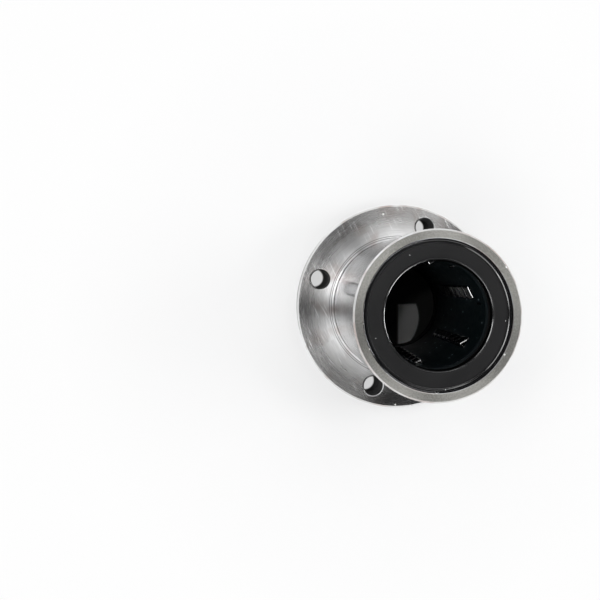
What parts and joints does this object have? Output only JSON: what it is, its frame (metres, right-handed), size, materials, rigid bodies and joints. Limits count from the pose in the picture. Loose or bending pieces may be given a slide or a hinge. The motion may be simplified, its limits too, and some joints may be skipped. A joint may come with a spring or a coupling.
{
  "type": "flanged linear bushing",
  "caption": "Round-flanged linear ball bushing: a steel sleeve with a bolt flange, rubber end seals and recirculating balls in a resin cage, guiding a round shaft along its axis.",
  "frame": {"origin": "centre of the flange's outer face, on the bore's axis", "axes": "+Z along the bore from the flange to the barrel's end; +X halfway between two bolt holes"},
  "size_m": [0.062, 0.062, 0.059],
  "materials": {
    "sleeve_steel": "ground bearing steel, turned flange face",
    "cage_resin": "dark moulded resin",
    "ball_steel": "polished bearing balls",
    "ring_steel": "plain pressed steel",
    "seal_rubber": "satin black rubber"
  },
  "bodies": {
    "root": {"sleeve": "sleeve_steel", "ball_cage": "cage_resin", "balls_circuit_1": "ball_steel", "balls_circuit_2": "ball_steel", "balls_circuit_3": "ball_steel", "balls_circuit_4": "ball_steel", "balls_circuit_5": "ball_steel", "balls_circuit_6": "ball_steel", "barrel_end_ring": "ring_steel", "flange_end_ring": "ring_steel", "barrel_end_seal": "seal_rubber", "flange_end_seal": "seal_rubber"}
  },
  "joints": []
}
